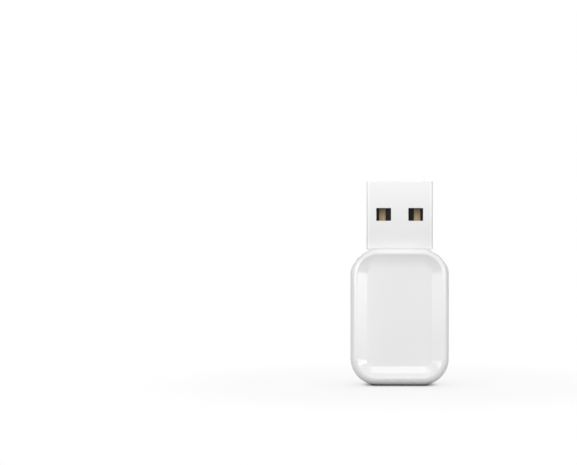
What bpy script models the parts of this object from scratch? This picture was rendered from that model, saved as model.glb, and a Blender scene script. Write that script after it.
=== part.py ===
"""A USB radio stick for a smart home network, standing on its end with the plug up.

The front faces -Y, the plug points along +Z, X is the width, and the origin is the middle of
the end that it stands on. All sizes are in metres.
"""

import math

import bmesh
import bpy
from mathutils import Matrix, Vector

PARTS = "usb_radio_stick"
HELPERS = "cutters_and_joined_forms"

# Plug shell, folded from sheet
PLUG_WIDTH = 0.0120
PLUG_DEPTH = 0.0045
PLUG_REACH = 0.0120
PLUG_HELD = 0.0039
PLUG_SHEET = 0.0003
PLUG_BEND = 0.0006
WINDOW_WIDTH = 0.00265
WINDOW_LENGTH = 0.0023
WINDOW_PITCH = 0.0058
WINDOW_FROM_MOUTH = 0.0048
SEAM_SLIT = 0.0001
DOVETAIL_WIDTH = 0.0008
DOVETAIL_LENGTH = 0.0016
DOVETAIL_SLANT = 0.0002
DOVETAIL_FROM_MOUTH = 0.0095
LEG_REACH = 0.0024
LEG_WIDTH = 0.0009
LEG_ABOVE_BOARD = 0.0012

# Insulator and contacts inside the plug
TONGUE_DEPTH = 0.0019
TONGUE_FROM_MOUTH = 0.0005
TONGUE_CHAMFER = 0.0003
CAVITY_LENGTH = 0.0089
CONTACT_WIDTH = 0.0012
CONTACT_SHEET = 0.00025
CONTACT_PROUD = 0.00005
CONTACT_NOSE = 0.0003
POWER_PITCH = 0.0063
DATA_PITCH = 0.0020
POWER_FROM_MOUTH = 0.0014
DATA_FROM_MOUTH = 0.0024
TAIL_REACH = 0.0020

# Casing
SHOULDER = 0.0029
OVER_PLUG = 0.00175
BODY_LENGTH = 0.0248
BODY_CORNER = 0.0049
EDGE_ROUND_WIDTH = 0.00127
EDGE_ROUND_DEPTH = 0.0015
WALL = 0.0011
INNER_ROUND = 0.0004
RECESS_DEPTH = 0.0010
RECESS_SIDE = 0.00176
RECESS_FOOT = 0.0021
RECESS_HEAD = 0.0024
FOOT_FOLD_SHARE = 0.5
FOOT_FOLD_DROP = 0.26
PANEL_CORNER = 0.0012
PARTING_GAP = 0.0001
PARTING_BREAK = 0.0001
LIP_HEIGHT = 0.0008
LIP_SHEET = 0.0005
SNAP_LENGTH = 0.0030
SNAP_HEIGHT = 0.0002
SNAP_FROM_END = 0.0075
PLUG_RIB_WIDTH = 0.0009
PLUG_RIB_LENGTH = 0.0012
PLUG_RIB_PITCH = 0.0060

# Board and what holds it
BOARD_THICKNESS = 0.0010
BOARD_EDGE_GAP = 0.0003
BOARD_TO_PLUG = 0.00015
BOARD_HEAD_CORNER = 0.0015
PIN_RADIUS = 0.0005
PIN_REACH = 0.0008
BOSS_RADIUS = 0.0011
BOSS_FROM_EDGE = 0.0004

# Electronics
PART_GAP = 0.0003
SMALL_LENGTH = 0.0010
SMALL_WIDTH = 0.0005
SMALL_HEIGHT = 0.00045
SMALL = (SMALL_WIDTH, SMALL_HEIGHT, SMALL_LENGTH)
LARGE_LENGTH = 0.0016
LARGE_WIDTH = 0.0008
LARGE_HEIGHT = 0.0007
LARGE = (LARGE_WIDTH, LARGE_HEIGHT, LARGE_LENGTH)
END_CAP_LENGTH = 0.00022
END_CAP_PROUD = 0.00002
CHIP_HEIGHT = 0.00085
CHIP_BREAK = 0.00008
RADIO_SIZE = 0.0040
SERIAL_SIZE = 0.0030
DIMPLE_RADIUS = 0.00022
DIMPLE_DEPTH = 0.00008
DIMPLE_FROM_EDGE = 0.00055
PROTECTOR_WIDTH = 0.0016
PROTECTOR_LENGTH = 0.0012
PROTECTOR_HEIGHT = 0.0006
CRYSTAL_WIDTH = 0.0020
CRYSTAL_LENGTH = 0.0025
CRYSTAL_HEIGHT = 0.0006
CRYSTAL_LID_STEP = 0.00015
REGULATOR_WIDTH = 0.0016
REGULATOR_LENGTH = 0.0029
REGULATOR_HEIGHT = 0.0011
REGULATOR_DRAFT = 0.00012
LEAD_SHEET = 0.00015
LEAD_WIDTH = 0.0004
LEAD_PITCH = 0.00095
LEAD_REACH = 0.0006
LEAD_SHOULDER = 0.00025
AERIAL_HALF_WIDTH = 0.0054
AERIAL_FROM_EDGE = 0.0005
AERIAL_FOLD_DROP = 0.0012
AERIAL_FOLDS = 2
TRACE_WIDTH = 0.0005
TRACE_THICKNESS = 0.00007

# Clearances
FIT = 0.00005
RUNNING_FIT = 0.0001

# How finely the round shapes are faceted, and how their faces are shaded
CORNER_STEPS = 8
EDGE_STEPS = 6
BEND_STEPS = 4
INNER_STEPS = 3
DISH_STEPS = 6
BREAK_STEPS = 2
PIN_SEGMENTS = 20
SHARP_FROM = math.radians(35)
LARGE_FACE_WEIGHT = 100

# Casing, worked out from the sizes above
HALF_WIDTH = PLUG_WIDTH / 2 + SHOULDER
HALF_DEPTH = PLUG_DEPTH / 2 + OVER_PLUG
CEILING = HALF_DEPTH - RECESS_DEPTH - WALL
MOUTH_Z = BODY_LENGTH + PLUG_REACH
PLUG_TAIL_Z = BODY_LENGTH - PLUG_HELD
LEG_FOOT_Z = PLUG_TAIL_Z - LEG_REACH
LIP_FACE_X = HALF_WIDTH - WALL + LIP_SHEET

# Depths of the insulator, the contacts and the board
PLUG_INSIDE = PLUG_DEPTH / 2 - PLUG_SHEET
TONGUE_Y = PLUG_INSIDE - FIT - TONGUE_DEPTH
CONTACT_FRONT_Y = TONGUE_Y - CONTACT_PROUD
CONTACT_BACK_Y = CONTACT_FRONT_Y + CONTACT_SHEET
BOARD_FRONT_Y = CONTACT_BACK_Y + FIT
BOARD_BACK_Y = BOARD_FRONT_Y + BOARD_THICKNESS

# Board outline
BOARD_TOP_Z = PLUG_TAIL_Z - BOARD_TO_PLUG
BOARD_FOOT_Z = WALL + BOARD_EDGE_GAP
BOARD_HALF = HALF_WIDTH - WALL - BOARD_EDGE_GAP
BOARD_FOOT_CORNER = BODY_CORNER - WALL - BOARD_EDGE_GAP

# Rows of electronics, from the plug down, with the aerial in the length that is left
TAIL_END_Z = BOARD_TOP_Z - TAIL_REACH
PROTECTOR_Z = TAIL_END_Z - PART_GAP - PROTECTOR_LENGTH / 2
SUPPLY_TOP_Z = PROTECTOR_Z - PROTECTOR_LENGTH / 2 - PART_GAP
RADIO_TOP_Z = SUPPLY_TOP_Z - max(SERIAL_SIZE, REGULATOR_LENGTH) - PART_GAP
RADIO_Z = RADIO_TOP_Z - RADIO_SIZE / 2
MATCHING_Z = RADIO_Z - RADIO_SIZE / 2 - PART_GAP - SMALL_LENGTH / 2
AERIAL_TOP_Z = MATCHING_Z - SMALL_LENGTH / 2 - PART_GAP
AERIAL_FOOT_Z = BOARD_FOOT_Z + AERIAL_FROM_EDGE

# Locating pins, between the plug's legs and the aerial
PIN_X = BOARD_HALF - BOSS_FROM_EDGE - BOSS_RADIUS
UPPER_PIN_Z = LEG_FOOT_Z - PART_GAP - BOSS_RADIUS
LOWER_PIN_Z = AERIAL_TOP_Z + PART_GAP + BOSS_RADIUS
PIN_PLACES = [(side * PIN_X, z) for z in (LOWER_PIN_Z, UPPER_PIN_Z) for side in (-1, 1)]


def start_empty():
    """Clears the scene and makes the two collections."""
    for old in list(bpy.data.objects):
        bpy.data.objects.remove(old)
    for name in (PARTS, HELPERS):
        bpy.context.scene.collection.children.link(bpy.data.collections.new(name))


def finish(name, colour, roughness, metallic=0.0):
    material = bpy.data.materials.new(name)
    material.use_nodes = True
    shader = material.node_tree.nodes["Principled BSDF"]
    shader.inputs["Base Color"].default_value = (*colour, 1.0)
    shader.inputs["Roughness"].default_value = roughness
    shader.inputs["Metallic"].default_value = metallic
    return material


def add_part(name, mesh, material, place=(0, 0, 0)):
    """Links a mesh as one sub-part of the stick."""
    mesh.materials.append(material)
    part = bpy.data.objects.new(name, mesh)
    part.location = place
    bpy.data.collections[PARTS].objects.link(part)
    return part


def change(target, operation, mesh, place):
    """Cuts a mesh from the target, or joins it on, with a live modifier."""
    helper = bpy.data.objects.new(mesh.name, mesh)
    helper.location = place
    helper.hide_render = True
    helper.display_type = "WIRE"
    bpy.data.collections[HELPERS].objects.link(helper)
    modifier = target.modifiers.new(mesh.name, "BOOLEAN")
    modifier.operation = operation
    modifier.object = helper
    modifier.solver = "EXACT"


def cut(target, mesh, place=(0, 0, 0)):
    change(target, "DIFFERENCE", mesh, place)


def join(target, mesh, place=(0, 0, 0)):
    change(target, "UNION", mesh, place)


def mesh_from(name, shape):
    """Turns a bmesh into a mesh that faces outwards, smooth apart from its edges."""
    bmesh.ops.recalc_face_normals(shape, faces=shape.faces)
    mesh = bpy.data.meshes.new(name)
    shape.to_mesh(mesh)
    shape.free()
    mesh.shade_smooth()
    mesh.set_sharp_from_angle(angle=SHARP_FROM)
    return mesh


def bevel(shape, edges, width):
    bmesh.ops.bevel(
        shape,
        geom=edges,
        offset=width,
        affect="EDGES",
        segments=BREAK_STEPS,
        profile=0.5,
        material=-1,
    )


def block(name, width, depth, length, edge_break=0.0, draft=0.0):
    """A box about the origin, with broken edges or with sides that draw in towards -Y."""
    shape = bmesh.new()
    bmesh.ops.create_cube(shape, size=1.0)
    bmesh.ops.scale(shape, vec=(width, depth, length), verts=shape.verts)
    if draft:
        face = [corner for corner in shape.verts if corner.co.y < 0]
        taper = (1 - 2 * draft / width, 1, 1 - 2 * draft / length)
        bmesh.ops.scale(shape, vec=taper, verts=face)
    if edge_break:
        bevel(shape, shape.edges[:], edge_break)
    return mesh_from(name, shape)


def span(name, low, high):
    """A box between two corners."""
    low, high = Vector(low), Vector(high)
    shape = bmesh.new()
    bmesh.ops.create_cube(shape, size=1.0)
    bmesh.ops.scale(shape, vec=high - low, verts=shape.verts)
    bmesh.ops.translate(shape, vec=(low + high) / 2, verts=shape.verts)
    return mesh_from(name, shape)


def rod(name, radius, start_y, end_y):
    """A round bar about the Y axis."""
    shape = bmesh.new()
    middle = Matrix.Translation((0, (start_y + end_y) / 2, 0))
    bmesh.ops.create_cone(
        shape,
        cap_ends=True,
        segments=PIN_SEGMENTS,
        radius1=radius,
        radius2=radius,
        depth=abs(end_y - start_y),
        matrix=middle @ Matrix.Rotation(math.pi / 2, 4, "X"),
    )
    return mesh_from(name, shape)


def gathered(name, pieces):
    """One mesh of separate pieces, given as (mesh, place)."""
    shape = bmesh.new()
    for mesh, place in pieces:
        known = len(shape.verts)
        shape.from_mesh(mesh)
        shape.verts.ensure_lookup_table()
        bmesh.ops.translate(shape, vec=place, verts=shape.verts[known:])
    return mesh_from(name, shape)


def sweep(name, outline, along):
    """A flat outline carried along a straight line."""
    shape = bmesh.new()
    face = shape.faces.new([shape.verts.new(point) for point in outline])
    grown = bmesh.ops.extrude_face_region(shape, geom=[face])["geom"]
    moved = [item for item in grown if isinstance(item, bmesh.types.BMVert)]
    bmesh.ops.translate(shape, vec=along, verts=moved)
    return mesh_from(name, shape)


def loft(name, rings):
    """A skin over rings of the same number of points, capped at the first and the last."""
    shape = bmesh.new()
    loops = [[shape.verts.new(point) for point in ring] for ring in rings]
    shape.faces.new(loops[0])
    shape.faces.new(loops[-1])
    for near, far in zip(loops, loops[1:]):
        for i, corner in enumerate(near):
            j = (i + 1) % len(near)
            shape.faces.new((corner, near[j], far[j], far[i]))
    return mesh_from(name, shape)


def rounded_outline(half_width, low, high, low_corner, high_corner, steps):
    """Points (a, b, turn) round a rectangle, where turn is the angle of the outward normal."""
    points = []
    quarters = (
        (1, high - high_corner, high_corner),
        (-1, high - high_corner, high_corner),
        (-1, low + low_corner, low_corner),
        (1, low + low_corner, low_corner),
    )
    for quarter, (side, centre, radius) in enumerate(quarters):
        for step in range(steps + 1):
            turn = math.pi / 2 * (quarter + step / steps)
            a = side * (half_width - radius) + radius * math.cos(turn)
            points.append((a, centre + radius * math.sin(turn), turn))
    return points


def ribbon(path, width):
    """The outline of a strip that follows a path of (a, b) points, with mitred corners."""
    points = [Vector(point) for point in path]
    runs = [(after - before).normalized() for before, after in zip(points, points[1:])]
    left, right = [], []
    for i, point in enumerate(points):
        into, out = runs[max(i - 1, 0)], runs[min(i, len(runs) - 1)]
        bend = (into + out).normalized()
        side = Vector((-bend.y, bend.x)) * (width / 2 / bend.dot(into))
        left.append(point + side)
        right.append(point - side)
    return left + right[::-1]


def casing_ring(inset, y):
    """The casing's outline, drawn in by an inset, at one depth."""
    corner = BODY_CORNER - inset
    outline = rounded_outline(
        HALF_WIDTH - inset, inset, BODY_LENGTH - inset, corner, corner, CORNER_STEPS
    )
    return [(a, y, b) for a, b, _ in outline]


def dish_ring(side, share, rim_inset, rim_y):
    """A ring on the way from the dish's rim, at share 0, to its flat panel, at share 1.

    The slopes at the sides are flat. The one at the head is hollow, and the one at the foot
    is folded: it falls slowly from the rim, and then steeply to the panel.
    """

    def between(rim, panel):
        return rim + (panel - rim) * share

    corner = between(BODY_CORNER - rim_inset, PANEL_CORNER)
    outline = rounded_outline(
        HALF_WIDTH - between(rim_inset, EDGE_ROUND_WIDTH + RECESS_SIDE),
        between(rim_inset, EDGE_ROUND_WIDTH + RECESS_FOOT),
        BODY_LENGTH - between(rim_inset, EDGE_ROUND_WIDTH + RECESS_HEAD),
        corner,
        corner,
        CORNER_STEPS,
    )
    hollow = 1 - (1 - share) ** 2
    folded = folded_drop(share)
    ring = []
    for a, b, turn in outline:
        at_end = hollow if math.sin(turn) > 0 else folded
        drop = share + (at_end - share) * math.sin(turn) ** 2
        ring.append((a, rim_y - side * RECESS_DEPTH * drop, b))
    return ring


def folded_drop(share):
    """How far down the folded slope at the foot is, as a share of the dish's depth."""
    if share < FOOT_FOLD_SHARE:
        return FOOT_FOLD_DROP * share / FOOT_FOLD_SHARE
    past_fold = (share - FOOT_FOLD_SHARE) / (1 - FOOT_FOLD_SHARE)
    return FOOT_FOLD_DROP + (1 - FOOT_FOLD_DROP) * past_fold


def round_rings(first_inset, last_inset, wall_y, face_y, steps):
    """Rings round a quarter turn, from the side wall at wall_y to the face at face_y."""
    rings = []
    for step in range(steps + 1):
        turn = math.pi / 2 * step / steps
        inset = last_inset - (last_inset - first_inset) * math.cos(turn)
        rings.append(casing_ring(inset, wall_y + (face_y - wall_y) * math.sin(turn)))
    return rings


def casing_half(name, side, edge):
    """A dished shell whose face looks along side * Y, with its edge given as (inset, height).

    The height is measured from the parting plane towards the shell's own face.
    """
    face_y = side * HALF_DEPTH
    dish = [
        dish_ring(side, step / DISH_STEPS, EDGE_ROUND_WIDTH, face_y)
        for step in range(DISH_STEPS, 0, -1)
    ]
    wall_y = face_y - side * EDGE_ROUND_DEPTH
    outer_round = round_rings(0, EDGE_ROUND_WIDTH, wall_y, face_y, EDGE_STEPS)[::-1]
    edge_rings = [casing_ring(inset, side * height) for inset, height in edge]
    inner_y = face_y - side * WALL
    inner_wall_y = inner_y - side * INNER_ROUND
    inner_rim = WALL + INNER_ROUND
    inner_round = round_rings(WALL, inner_rim, inner_wall_y, inner_y, INNER_STEPS)
    inner_dish = [
        dish_ring(side, step / DISH_STEPS, inner_rim, inner_y)
        for step in range(1, DISH_STEPS + 1)
    ]
    rings = dish + outer_round + edge_rings + inner_round + inner_dish
    shell = add_part(name, loft(name, rings), WHITE_PLASTIC)
    add_plug_ribs(shell, side, inner_y)
    cut_plug_way(shell)
    return shell


def add_plug_ribs(shell, side, inner_y):
    """Two ribs that seat the plug's face; the plug's way trims them to their height."""
    ends = sorted((side * PLUG_DEPTH / 2, inner_y + side * INNER_ROUND / 2))
    foot_z = BODY_LENGTH - WALL - PLUG_RIB_LENGTH
    for index in (-1, 1):
        x = index * PLUG_RIB_PITCH / 2
        rib = span(
            f"{shell.name}_rib",
            (x - PLUG_RIB_WIDTH / 2, ends[0], foot_z),
            (x + PLUG_RIB_WIDTH / 2, ends[1], BODY_LENGTH - WALL / 2),
        )
        join(shell, rib)


def cut_plug_way(shell):
    """The plug's way through the head, which also leaves it room behind the wall."""
    half_depth = PLUG_DEPTH / 2 + RUNNING_FIT
    corner = PLUG_BEND + RUNNING_FIT
    outline = rounded_outline(
        PLUG_WIDTH / 2 + RUNNING_FIT, -half_depth, half_depth, corner, corner, BEND_STEPS
    )
    points = [(a, b, BOARD_TOP_Z) for a, b, _ in outline]
    cut(shell, sweep(f"{shell.name}_plug_way", points, (0, 0, BODY_LENGTH)))


def make_front_shell():
    """The front half, with a rebate in its edge and a socket for each locating pin."""
    skirt = WALL - LIP_SHEET - RUNNING_FIT
    seam = PARTING_GAP / 2
    rebate = LIP_HEIGHT + RUNNING_FIT
    edge = [
        (0, seam + PARTING_BREAK),
        (PARTING_BREAK, seam),
        (skirt, seam),
        (skirt, rebate),
        (WALL, rebate),
    ]
    shell = casing_half("front_shell", -1, edge)
    root_y = -CEILING - WALL / 2
    bore_y = BOARD_FRONT_Y - PIN_REACH - RUNNING_FIT
    for x, z in PIN_PLACES:
        join(shell, rod("boss", BOSS_RADIUS, root_y, BOARD_FRONT_Y - FIT), (x, 0, z))
        cut(shell, rod("boss_bore", PIN_RADIUS + FIT, bore_y, BOARD_BACK_Y), (x, 0, z))
    for side, z in snap_places():
        cut(shell, snap_ridge("snap_groove", side, z, RUNNING_FIT))


def make_rear_shell():
    """The rear half, with a lip round its edge and a locating pin on each board post."""
    seam = PARTING_GAP / 2
    lip_inset = WALL - LIP_SHEET
    edge = [
        (0, seam + PARTING_BREAK),
        (PARTING_BREAK, seam),
        (lip_inset, seam),
        (lip_inset, -LIP_HEIGHT),
        (WALL, -LIP_HEIGHT),
    ]
    shell = casing_half("rear_shell", 1, edge)
    root_y = CEILING + WALL / 2
    for x, z in PIN_PLACES:
        join(shell, rod("post", BOSS_RADIUS, BOARD_BACK_Y + FIT, root_y), (x, 0, z))
        join(shell, rod("pin", PIN_RADIUS, BOARD_FRONT_Y - PIN_REACH, root_y), (x, 0, z))
    for side, z in snap_places():
        join(shell, snap_ridge("snap_ridge", side, z, 0))


def snap_places():
    """The side and the middle of each snap, two on each long side."""
    levels = (SNAP_FROM_END, BODY_LENGTH - SNAP_FROM_END)
    return [(side, z) for side in (-1, 1) for z in levels]


def snap_ridge(name, side, middle_z, grow):
    """A ridge along the lip, or the groove for it when it is grown by a clearance."""
    y = -LIP_HEIGHT / 2
    height = SNAP_HEIGHT + grow
    start_z = middle_z - SNAP_LENGTH / 2 - grow
    root_x = side * (LIP_FACE_X - LIP_SHEET / 2)
    face_x = side * LIP_FACE_X
    outline = [
        (root_x, y - height, start_z),
        (face_x, y - height, start_z),
        (face_x + side * height, y, start_z),
        (face_x, y + height, start_z),
        (root_x, y + height, start_z),
    ]
    return sweep(name, outline, (0, 0, SNAP_LENGTH + 2 * grow))


def make_plug_shell():
    """The folded shell: an open wall given its sheet, then the windows, legs and seam."""
    outline = rounded_outline(
        PLUG_WIDTH / 2, -PLUG_DEPTH / 2, PLUG_DEPTH / 2, PLUG_BEND, PLUG_BEND, BEND_STEPS
    )
    shape = bmesh.new()
    ring = [shape.verts.new((a, b, LEG_FOOT_Z)) for a, b, _ in outline]
    edges = [shape.edges.new((ring[i - 1], ring[i])) for i in range(len(ring))]
    grown = bmesh.ops.extrude_edge_only(shape, edges=edges)["geom"]
    moved = [item for item in grown if isinstance(item, bmesh.types.BMVert)]
    bmesh.ops.translate(shape, vec=(0, 0, MOUTH_Z - LEG_FOOT_Z), verts=moved)
    shell = add_part("plug_shell", mesh_from("plug_shell", shape), WHITE_PAINT)
    sheet = shell.modifiers.new("sheet", "SOLIDIFY")
    sheet.thickness = PLUG_SHEET
    sheet.offset = -1
    sheet.use_even_offset = True
    cut_windows(shell)
    cut_legs(shell)
    cut_seam(shell)


def cut_windows(shell):
    """Two windows in the front, and the same two in the back."""
    top_z = MOUTH_Z - WINDOW_FROM_MOUTH
    for side in (-1, 1):
        x = side * WINDOW_PITCH / 2
        low = (x - WINDOW_WIDTH / 2, -PLUG_DEPTH, top_z - WINDOW_LENGTH)
        high = (x + WINDOW_WIDTH / 2, PLUG_DEPTH, top_z)
        cut(shell, span("windows", low, high))


def cut_legs(shell):
    """Trims the shell behind the insulator to two legs, whose spades go through the board."""
    flat = PLUG_WIDTH / 2 - PLUG_BEND
    spade_y = PLUG_DEPTH / 2 - PLUG_BEND
    arm_y = BOARD_FRONT_Y - FIT
    above_y = BOARD_FRONT_Y - LEG_ABOVE_BOARD
    below_z = LEG_FOOT_Z - PLUG_SHEET
    low = (-flat, -PLUG_DEPTH, below_z)
    cut(shell, span("between_legs", low, (flat, PLUG_DEPTH, PLUG_TAIL_Z)))
    side_outlines = {
        "before_legs": [
            (-PLUG_DEPTH, below_z),
            (above_y, below_z),
            (above_y, PLUG_TAIL_Z),
            (-PLUG_DEPTH, PLUG_TAIL_Z),
        ],
        "behind_legs": [
            (spade_y, below_z),
            (PLUG_DEPTH, below_z),
            (PLUG_DEPTH, PLUG_TAIL_Z),
            (arm_y, PLUG_TAIL_Z),
            (arm_y, LEG_FOOT_Z + LEG_WIDTH),
            (spade_y, LEG_FOOT_Z + LEG_WIDTH),
        ],
    }
    for name, outline in side_outlines.items():
        points = [(-PLUG_WIDTH, y, z) for y, z in outline]
        cut(shell, sweep(name, points, (2 * PLUG_WIDTH, 0, 0)))


def cut_seam(shell):
    """The butt seam down the middle of the back, with one dovetail."""
    middle_z = MOUTH_Z - DOVETAIL_FROM_MOUTH
    neck = DOVETAIL_LENGTH / 2 - DOVETAIL_SLANT
    path = [
        (0, LEG_FOOT_Z - PLUG_SHEET),
        (0, middle_z - neck),
        (DOVETAIL_WIDTH, middle_z - DOVETAIL_LENGTH / 2),
        (DOVETAIL_WIDTH, middle_z + DOVETAIL_LENGTH / 2),
        (0, middle_z + neck),
        (0, MOUTH_Z + PLUG_SHEET),
    ]
    outline = [(a, PLUG_INSIDE - FIT, b) for a, b in ribbon(path, SEAM_SLIT)]
    cut(shell, sweep("seam", outline, (0, PLUG_SHEET + 2 * FIT, 0)))


def contact_places():
    """The name, x and tip of each contact; the power pair meets its socket first."""
    power_z = MOUTH_Z - POWER_FROM_MOUTH
    data_z = MOUTH_Z - DATA_FROM_MOUTH
    return (
        ("contact_power", -POWER_PITCH / 2, power_z),
        ("contact_data_minus", -DATA_PITCH / 2, data_z),
        ("contact_data_plus", DATA_PITCH / 2, data_z),
        ("contact_ground", POWER_PITCH / 2, power_z),
    )


def make_insulator():
    """The tongue and the block behind it, moulded as one, with a channel for each contact."""
    back_y = PLUG_INSIDE - FIT
    half = PLUG_WIDTH / 2 - PLUG_SHEET - FIT
    shelf_z = MOUTH_Z - CAVITY_LENGTH
    tip_z = MOUTH_Z - TONGUE_FROM_MOUTH
    outline = [
        (-back_y, PLUG_TAIL_Z),
        (-back_y, shelf_z),
        (TONGUE_Y, shelf_z),
        (TONGUE_Y, tip_z - TONGUE_CHAMFER),
        (TONGUE_Y + TONGUE_CHAMFER, tip_z),
        (back_y, tip_z),
        (back_y, PLUG_TAIL_Z),
    ]
    points = [(-half, y, z) for y, z in outline]
    shape = bmesh.new()
    shape.from_mesh(sweep("tongue_and_block", points, (2 * half, 0, 0)))
    corners = [
        edge
        for edge in shape.edges
        if all(abs(abs(end.co.y) - back_y) < FIT for end in edge.verts)
        and abs(edge.verts[0].co.z - edge.verts[1].co.z) > PLUG_BEND
    ]
    bevel(shape, corners, PLUG_BEND - PLUG_SHEET)
    insulator = add_part("plug_insulator", mesh_from("plug_insulator", shape), BLACK_PLASTIC)
    reach = CONTACT_WIDTH / 2 + FIT
    for name, x, contact_z in contact_places():
        channel = span(
            f"{name}_channel",
            (x - reach, CONTACT_FRONT_Y - FIT, PLUG_TAIL_Z - PLUG_SHEET),
            (x + reach, CONTACT_BACK_Y + FIT, contact_z + FIT),
        )
        cut(insulator, channel)


def make_contacts():
    """Flat strips with a sloping nose, each running back over the board as its own tail."""
    for name, x, tip_z in contact_places():
        outline = [
            (CONTACT_FRONT_Y, TAIL_END_Z),
            (CONTACT_FRONT_Y, tip_z - CONTACT_NOSE),
            (CONTACT_FRONT_Y + CONTACT_SHEET / 2, tip_z),
            (CONTACT_BACK_Y, tip_z),
            (CONTACT_BACK_Y, TAIL_END_Z),
        ]
        points = [(-CONTACT_WIDTH / 2, y, z) for y, z in outline]
        add_part(name, sweep(name, points, (CONTACT_WIDTH, 0, 0)), GOLD_PLATE, (x, 0, 0))


def make_board():
    """The board, with a hole for each locating pin and a slot for each leg of the plug."""
    outline = rounded_outline(
        BOARD_HALF,
        BOARD_FOOT_Z,
        BOARD_TOP_Z,
        BOARD_FOOT_CORNER,
        BOARD_HEAD_CORNER,
        CORNER_STEPS,
    )
    points = [(a, BOARD_FRONT_Y, b) for a, b, _ in outline]
    mesh = sweep("circuit_board", points, (0, BOARD_THICKNESS, 0))
    board = add_part("circuit_board", mesh, BOARD_GREEN)
    start_y = BOARD_FRONT_Y - BOARD_THICKNESS
    end_y = BOARD_BACK_Y + BOARD_THICKNESS
    hole = rod("pin_hole", PIN_RADIUS + RUNNING_FIT, start_y, end_y)
    reach = PLUG_SHEET / 2 + RUNNING_FIT
    low = (-reach, start_y, LEG_FOOT_Z - RUNNING_FIT)
    high = (reach, end_y, LEG_FOOT_Z + LEG_WIDTH + RUNNING_FIT)
    slot = span("leg_slot", low, high)
    leg_x = (PLUG_WIDTH - PLUG_SHEET) / 2
    openings = [(hole, (x, 0, z)) for x, z in PIN_PLACES]
    openings += [(slot, (side * leg_x, 0, 0)) for side in (-1, 1)]
    cut(board, gathered("pin_holes_and_leg_slots", openings))


def make_aerial():
    """A printed inverted F whose arm is folded, with its ground leg and feed leg up."""
    half = AERIAL_HALF_WIDTH
    pitch = half / (AERIAL_FOLDS + 1)
    fold_z = AERIAL_TOP_Z - AERIAL_FOLD_DROP
    path = [(-half, AERIAL_TOP_Z), (-half, AERIAL_FOOT_Z)]
    for fold in range(AERIAL_FOLDS):
        x = 2 * pitch * (fold + 1) - half
        path += [(x, AERIAL_FOOT_Z), (x, fold_z)]
        path += [(x + pitch, fold_z), (x + pitch, AERIAL_FOOT_Z)]
    path += [(half, AERIAL_FOOT_Z), (half, fold_z)]
    front_y = BOARD_FRONT_Y - FIT - TRACE_THICKNESS
    strip = [(a, front_y, b) for a, b in ribbon(path, TRACE_WIDTH)]
    mesh = sweep("printed_aerial", strip, (0, TRACE_THICKNESS, 0))
    aerial = add_part("printed_aerial", mesh, GOLD_PLATE)
    feed_x = pitch - half
    low = (feed_x - TRACE_WIDTH / 2, front_y, AERIAL_FOOT_Z)
    high = (feed_x + TRACE_WIDTH / 2, front_y + TRACE_THICKNESS, AERIAL_TOP_Z)
    join(aerial, span("feed_leg", low, high))


def seat(x, z, height):
    """The middle of a part of some height that sits on the front of the board."""
    return Vector((x, BOARD_FRONT_Y - FIT - height / 2, z))


def add_square_chip(name, size, x, z):
    """A leadless chip with broken edges and the dimple that marks its first pin."""
    place = seat(x, z, CHIP_HEIGHT)
    chip = add_part(name, block(name, size, CHIP_HEIGHT, size, CHIP_BREAK), CHIP_BLACK, place)
    face_y = -CHIP_HEIGHT / 2
    dimple = rod("dimple", DIMPLE_RADIUS, face_y - DIMPLE_DEPTH, face_y + DIMPLE_DEPTH)
    corner = size / 2 - DIMPLE_FROM_EDGE
    cut(chip, dimple, place + Vector((-corner, 0, corner)))


def add_two_ended(name, sizes, material, x, z):
    """A ceramic block that stands along Z, with a metal cap round each end."""
    width, height, length = sizes
    proud = 2 * END_CAP_PROUD
    place = seat(x, z, height + proud)
    part = add_part(name, block(name, width, height, length), material, place)
    shift = (length - END_CAP_LENGTH) / 2 + END_CAP_PROUD
    for end in (-1, 1):
        cap = block("end_cap", width + proud, height + proud, END_CAP_LENGTH)
        join(part, cap, place + Vector((0, 0, end * shift)))


def add_crystal(x, z):
    """A ceramic base with a smaller metal lid."""
    place = seat(x, z, CRYSTAL_HEIGHT)
    step = CRYSTAL_LID_STEP
    base_height = CRYSTAL_HEIGHT - step
    base_place = seat(x, z, base_height)
    base = block("radio_crystal", CRYSTAL_WIDTH, base_height, CRYSTAL_LENGTH)
    crystal = add_part("radio_crystal", base, BRIGHT_METAL, base_place)
    lid = block("lid", CRYSTAL_WIDTH - 2 * step, CRYSTAL_HEIGHT, CRYSTAL_LENGTH - 2 * step)
    join(crystal, lid, place)


def add_regulator(x, z):
    """A moulded block on gull-wing leads, two on the left and three on the right."""
    place = seat(x, z, REGULATOR_HEIGHT)
    body_height = REGULATOR_HEIGHT - LEAD_SHEET / 2
    body = block(
        "voltage_regulator",
        REGULATOR_WIDTH,
        body_height,
        REGULATOR_LENGTH,
        draft=REGULATOR_DRAFT,
    )
    middle = seat(x, z, REGULATOR_HEIGHT + LEAD_SHEET / 2)
    regulator = add_part("voltage_regulator", body, CHIP_BLACK, middle)
    foot_y = (REGULATOR_HEIGHT - LEAD_SHEET) / 2
    start_x = REGULATOR_WIDTH / 2 - REGULATOR_DRAFT - LEAD_SHEET
    bend_x = REGULATOR_WIDTH / 2 + LEAD_SHOULDER
    for side, levels in ((-1, (-1, 1)), (1, (-1, 0, 1))):
        path = [
            (side * start_x, 0),
            (side * bend_x, 0),
            (side * bend_x, foot_y),
            (side * (REGULATOR_WIDTH / 2 + LEAD_REACH), foot_y),
        ]
        outline = [(a, b, -LEAD_WIDTH / 2) for a, b in ribbon(path, LEAD_SHEET)]
        for level in levels:
            lead = sweep("lead", outline, (0, 0, LEAD_WIDTH))
            join(regulator, lead, place + Vector((0, 0, level * LEAD_PITCH)))


def stack(start_z, count, length):
    """The middles of some parts of one length, one below the other from start_z."""
    return [start_z - length / 2 - index * (length + PART_GAP) for index in range(count)]


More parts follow.
